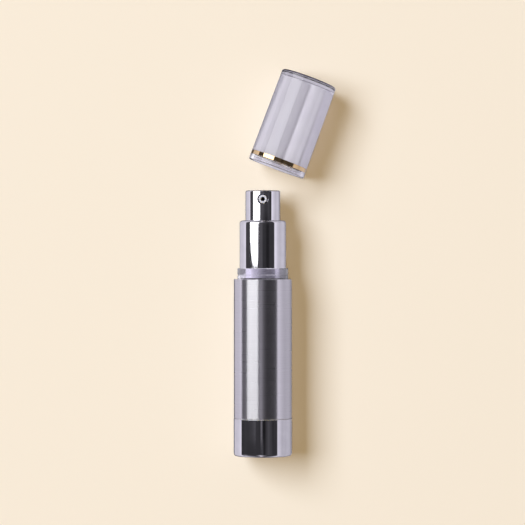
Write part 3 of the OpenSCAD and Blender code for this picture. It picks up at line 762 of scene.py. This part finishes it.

# Level of the table that metal mirrors, by distance to the right of the bottle in metres: beside
# the base and the sleeve, and beside the collar and the actuator. The low levels under the bottle
# and just right of it are a painted shadow
TABLE_LEVELS = ((-0.30, 0.05), (-0.27, 0.05), (-0.26, 0.88), (-0.12, 0.84), (-0.04, 0.68),
    (-0.0185, 0.64), (-0.0165, 0.12), (0.0, 0.12), (0.0095, 0.12), (0.012, 0.29), (0.018, 0.35),
    (0.024, 0.49), (0.034, 0.56), (0.1, 0.52), (0.3, 0.55))
TABLE_BY_HEAD = ((-0.30, 0.05), (-0.27, 0.05), (-0.26, 0.90), (-0.12, 0.88), (-0.04, 0.72),
    (-0.014, 0.66), (-0.0125, 0.12), (0.0095, 0.12), (0.012, 0.33), (0.018, 0.46), (0.024, 0.60),
    (0.034, 0.65), (0.1, 0.60), (0.3, 0.60))

# Level of the table that clear plastic passes on: by the clear ring's top and its foot, under the
# cap and beyond it. The table glows as painted light, brightest in the strip by the ring's foot,
# with painted shadow where the levels drop beside the ring, its foot and the cap
TABLE_BY_RING = ((-0.30, 0.45), (-0.05, 0.42), (-0.012, 0.38), (-0.0095, 0.20), (-0.0075, 0.28),
    (0.0, 0.62), (0.0075, 0.30), (0.0095, 0.22), (0.012, 0.28), (0.05, 0.40), (0.3, 0.45))
TABLE_BY_FOOT = ((-0.30, 1.2), (-0.012, 1.15), (-0.0072, 1.0), (0.0, 0.62), (0.0074, 0.26),
    (0.0078, 0.26), (0.0082, 1.7), (0.0088, 1.7), (0.0092, 0.22), (0.012, 0.26), (0.05, 0.34),
    (0.3, 0.36))
TABLE_BY_CAP = ((-0.30, 1.32), (-0.04, 1.36), (-0.014, 1.32), (-0.010, 0.68), (-0.002, 0.64),
    (0.0, 0.66), (0.012, 0.46), (0.018, 0.56), (0.024, 0.76), (0.034, 0.84), (0.3, 0.80))
TABLE_BEYOND = ((-0.30, 1.3), (0.0, 1.3), (0.3, 1.2))

# Places along the bottle, in metres, between which one set of the table's levels passes into the
# next, and a place across it between which the tones under the cap pass from pale to lilac
FOOT_TO_RING = (0.0684, 0.0687)
RING_TO_CAP = (0.085, 0.090)
CAP_TO_BEYOND = (0.150, 0.156)
SLEEVE_TO_HEAD = (0.067, 0.071)
HEAD_TO_CAP = (0.103, 0.106)
PALE_TO_LILAC = (-0.012, -0.004)

# Level of the studio by angle from straight up, in degrees to the right. Metal mirrors the first
# six: close over the bottle's middle, by its head, by its base and the base's lower end, further
# up, and wide. Clear plastic passes on the others: over the clear ring and its foot, and the
# paler studio over the cap's side and its ends.
STUDIO_IN_METAL = ((-90, 0.060), (-60, 0.055), (-20, 0.095), (-3, 0.090), (0, 0.040), (14, 0.034),
    (20, 0.017), (28, 0.017), (36, 0.040), (58, 0.043), (62, 0.90), (72, 0.82), (80, 0.66),
    (90, 0.62))
STUDIO_BY_HEAD = ((-90, 0.060), (-60, 0.055), (-20, 0.095), (-5, 0.080), (1, 0.090), (8, 0.066),
    (15, 0.046), (28, 0.050), (36, 0.054), (42, 0.070), (50, 0.028), (58, 0.040), (63, 0.90),
    (72, 0.82), (80, 0.68), (90, 0.64))
STUDIO_NEAR = ((-90, 0.030), (-75, 0.046), (-61, 0.043), (-43, 0.058), (-30, 0.088), (-27, 0.046),
    (-19, 0.040), (-10, 0.034), (-7, 0.17), (-3, 0.15), (0, 0.016), (8, 0.012), (12, 0.036),
    (24, 0.078), (28, 0.060), (33, 0.052), (41, 0.028), (46, 0.040), (58, 0.040), (62, 0.72),
    (72, 0.66), (80, 0.54), (90, 0.50))
STUDIO_NEAREST = ((-90, 0.034), (-75, 0.044), (-61, 0.037), (-11, 0.039), (-3, 0.056), (1, 0.058),
    (4, 0.020), (8, 0.022), (12, 0.040), (24, 0.074), (28, 0.058), (33, 0.056), (41, 0.036),
    (58, 0.038), (62, 0.72), (72, 0.66), (80, 0.54), (90, 0.50))
STUDIO_FAR = ((-90, 0.05), (-66, 0.05), (-22, 0.10), (-12, 0.06), (0, 0.05), (20, 0.045),
    (58, 0.05), (62, 0.84), (72, 0.80), (90, 0.64))
STUDIO_WIDE = ((-90, 0.08), (-82, 0.20), (-75, 0.40), (-64, 0.12), (-30, 0.05), (-20, 0.20),
    (-10, 0.62), (-4, 0.42), (4, 0.18), (18, 0.05), (60, 0.05), (64, 0.73), (72, 0.70),
    (90, 0.58))
STUDIO_IN_CLEAR = ((-90, 1.25), (-62, 1.38), (-45, 0.88), (-29, 0.74), (-14, 0.50), (0, 0.36),
    (16, 0.27), (31, 0.27), (47, 0.33), (58, 0.40), (66, 0.95), (78, 0.95), (90, 0.50))
STUDIO_IN_FOOT = ((-90, 1.45), (-62, 1.45), (-45, 1.05), (-29, 0.74), (-14, 0.48), (0, 0.33),
    (16, 0.22), (31, 0.22), (47, 0.24), (58, 0.26), (66, 0.34), (78, 0.38), (90, 0.34))
STUDIO_PALE = ((-90, 1.28), (-76, 1.04), (-60, 0.99), (-26, 1.00), (-21, 0.84), (0, 0.84),
    (17, 0.88), (20.5, 1.66), (44, 1.36), (52, 1.1), (90, 0.95))
STUDIO_PALE_END = ((-90, 1.30), (-28, 1.30), (-20, 0.04), (12, 0.08), (24, 1.0), (52, 1.30),
    (90, 1.25))

# Levels that take over in turn from those of the middle, and the slopes along the bottle between
# which they do: 0 is straight up, and 1 is level
METAL_STEPS = ((STUDIO_BY_HEAD, 0.016, 0.019), (STUDIO_NEAR, -0.01, -0.05),
    (STUDIO_NEAREST, -0.0685, -0.0705), (STUDIO_FAR, 0.035, 0.12), (STUDIO_WIDE, -0.12, -0.2),
    (STUDIO_WIDE, 0.4, 0.5))
RING_TO_FOOT_SLOPE = (-0.0047, -0.0051)
SIDE_TO_END_SLOPE = (0.45, 0.60)
RING_TO_CAP_SLOPE = (0.02, 0.045)


def painted_shadow_under_cap_top(tree):
    """1 on the strip of the table that lies under the cap's closed end, where hardly any light
    comes and a painted shadow goes, and 0 elsewhere."""
    place = split(tree, cap_coords(tree))
    share = rise(tree, calculate(tree, "ABSOLUTE", place["X"]), 10.6 * MM, 9.8 * MM)
    for start, end in ((33.6, 33.9), (35.4, 34.9)):
        inside = rise(tree, place["Y"], start * MM, end * MM)
        share = calculate(tree, "MULTIPLY", share, inside)
    return share


def lay_floor():
    """Floor sheet under everything. The camera and the light meet a diffuse cream, which takes the
    shadow. Mirrored and transmitted rays meet a lilac table that glows by itself, as painted light,
    with painted shadows of the bottle and the cap. Its level goes by the distance across from the
    bottle, with other levels beside each part of it."""
    size = 6.0
    mesh = bpy.data.meshes.new("floor")
    mesh.from_pydata([(-size, -size, FLOOR_Z), (size, -size, FLOOR_Z), (size, size, FLOOR_Z),
        (-size, size, FLOOR_Z)], [], [(0, 1, 2, 3)])
    floor = bpy.data.objects.new("floor", mesh)
    bpy.context.scene.collection.objects.link(floor)
    mat, tree, shader = new_material("floor_paper")
    tree.nodes.remove(shader)
    diffuse = add(tree, "ShaderNodeBsdfDiffuse")
    paper = noise(tree, coords(tree), 40.0)
    ramp = add(tree, "ShaderNodeValToRGB")
    ramp.color_ramp.elements[0].color = (*[c * 0.998 for c in FLOOR_CREAM], 1)
    ramp.color_ramp.elements[1].color = (*FLOOR_CREAM, 1)
    tree.links.new(paper, ramp.inputs["Fac"])
    tree.links.new(ramp.outputs["Color"], diffuse.inputs["Color"])

    # Tones of the glowing table: painted light, with painted shadows of the bottle and the cap
    place = split(tree, coords(tree))
    across = place["X"]
    along = place["Y"]
    by_foot = level_ramp(tree, across, TABLE_BY_FOOT, PALE_LILAC)
    by_ring = level_ramp(tree, across, TABLE_BY_RING, PALE_LILAC)
    by_cap = choose(tree, rise(tree, across, *PALE_TO_LILAC),
        level_ramp(tree, across, TABLE_BY_CAP, PALE_LILAC),
        level_ramp(tree, across, TABLE_BY_CAP, LILAC))
    beyond = level_ramp(tree, across, TABLE_BEYOND, PALE_LILAC)
    passed = choose(tree, rise(tree, along, *FOOT_TO_RING), by_foot, by_ring)
    passed = choose(tree, rise(tree, along, *RING_TO_CAP), passed, by_cap)
    passed = choose(tree, rise(tree, along, *CAP_TO_BEYOND), passed, beyond)
    passed = choose(tree, painted_shadow_under_cap_top(tree), passed, UNDER_TOP_PAINTED_SHADOW)
    usual = level_ramp(tree, across, TABLE_LEVELS, LILAC)
    by_head = level_ramp(tree, across, TABLE_BY_HEAD, LILAC)
    mirrored = choose(tree, rise(tree, along, *SLEEVE_TO_HEAD), usual, by_head)
    mirrored = choose(tree, rise(tree, along, *HEAD_TO_CAP), mirrored, usual)

    path = add(tree, "ShaderNodeLightPath")
    glossy = path.outputs["Is Glossy Ray"]
    through = path.outputs["Is Transmission Ray"]
    table = add(tree, "ShaderNodeEmission", Strength=1.0)
    tree.links.new(choose(tree, through, mirrored, passed), table.inputs["Color"])
    mix = add(tree, "ShaderNodeMixShader")
    tree.links.new(calculate(tree, "MAXIMUM", glossy, through), mix.inputs["Fac"])
    tree.links.new(diffuse.outputs["BSDF"], mix.inputs[1])
    tree.links.new(table.outputs["Emission"], mix.inputs[2])
    tree.links.new(mix.outputs["Shader"], tree.nodes["Material Output"].inputs["Surface"])
    floor.data.materials.append(mat)


def light_world():
    """World: cream to the camera and a soft fill to everything else. Metal mirrors a dark studio
    with a pale reflector low on the right, and clear plastic passes on a paler one; the camera
    sees neither. Their levels go by the angle across the bottle, and change with the slope
    along it."""
    world = bpy.data.worlds.new("studio")
    bpy.context.scene.world = world
    world.use_nodes = True
    tree = world.node_tree
    tree.nodes.clear()
    toward = split(tree, add(tree, "ShaderNodeTexCoord").outputs["Generated"])
    along = toward["Y"]
    across = calculate(tree, "DEGREES", calculate(tree, "ARCTAN2", toward["X"], toward["Z"]))
    metal = level_ramp(tree, across, STUDIO_IN_METAL, LILAC)
    for levels, start, end in METAL_STEPS:
        metal = choose(tree, rise(tree, along, start, end), metal,
            level_ramp(tree, across, levels, LILAC))
    by_ring = choose(tree, rise(tree, along, *RING_TO_FOOT_SLOPE),
        level_ramp(tree, across, STUDIO_IN_CLEAR, LILAC),
        level_ramp(tree, across, STUDIO_IN_FOOT, LILAC))
    by_cap = choose(tree, rise(tree, along, *SIDE_TO_END_SLOPE),
        level_ramp(tree, across, STUDIO_PALE, PALE_LILAC),
        level_ramp(tree, across, STUDIO_PALE_END, PALE_LILAC))
    reach = calculate(tree, "ABSOLUTE", along)
    passed = choose(tree, rise(tree, reach, *RING_TO_CAP_SLOPE), by_ring, by_cap)
    path = add(tree, "ShaderNodeLightPath")
    plain = choose(tree, path.outputs["Is Camera Ray"], FILL, FLOOR_CREAM)
    mirrored = choose(tree, path.outputs["Is Glossy Ray"], plain, metal)
    final = choose(tree, path.outputs["Is Transmission Ray"], mirrored, passed)
    sky = add(tree, "ShaderNodeBackground")
    tree.links.new(final, sky.inputs["Color"])
    out = add(tree, "ShaderNodeOutputWorld")
    tree.links.new(sky.outputs["Background"], out.inputs["Surface"])


def hang_lamp(name, power, colour, angles, distance, start, length):
    """Area lamp that lies along the bottle: it fills those angles from straight up, in degrees to
    the left, at that distance, and runs along +Y from start."""
    near, far = math.radians(angles[0]), math.radians(angles[1])
    middle = (near + far) / 2
    lamp = bpy.data.lights.new(name, "AREA")
    lamp.shape = "RECTANGLE"
    lamp.size = 2 * distance * math.tan((far - near) / 2)
    lamp.size_y = length
    lamp.energy = power
    lamp.color = colour
    held = bpy.data.objects.new(name, lamp)
    held.location = (-distance * math.sin(middle), start + length / 2,
        distance * math.cos(middle))
    held.rotation_euler = (0, -middle, 0)
    held.visible_camera = False
    held.visible_transmission = False
    bpy.context.scene.collection.objects.link(held)
    return held


def hang_lamps():
    """Key light high on the left and a small lamp overhead, for the floor and the plastics, and
    the softbox that the metal mirrors. It hangs along the bottle from the collar's foot on, in
    parts that narrow towards the foot, so that its mirror image ends rounded there."""
    key = hang_lamp("key", KEY_POWER, KEY_COLOUR, angles=(22, 52), distance=7.2, start=-0.4,
        length=5.8)
    key.visible_glossy = False
    overhead = hang_lamp("overhead", OVERHEAD_POWER, OVERHEAD_COLOUR, angles=(-2.4, 2.4),
        distance=3.0, start=-0.05, length=0.25)
    overhead.visible_glossy = False
    for part, angles, start, end in SOFTBOX_PARTS:
        length = end - start
        width = 2 * SOFTBOX_AWAY * math.tan(math.radians(angles[1] - angles[0]) / 2)
        softbox = hang_lamp(part, SOFTBOX_LEVEL * width * length, SOFTBOX_COLOUR, angles,
            SOFTBOX_AWAY, start, length)
        softbox.visible_diffuse = False


def set_camera():
    """Camera straight above, at the distance and framing that the photograph shows."""
    view_width = 0.1991
    away = 0.973
    over_x = -0.000114
    over_y = 0.07328
    lens = bpy.data.cameras.new("camera")
    lens.sensor_width = 36
    lens.lens = lens.sensor_width * away / view_width
    lens.clip_start = 0.01
    lens.clip_end = 50
    camera = bpy.data.objects.new("camera", lens)
    camera.location = (over_x, over_y, away)
    camera.rotation_euler = (0, 0, 0)
    bpy.context.scene.collection.objects.link(camera)
    bpy.context.scene.camera = camera


lay_floor()
light_world()
hang_lamps()
set_camera()
bpy.context.scene.view_settings.view_transform = "Standard"
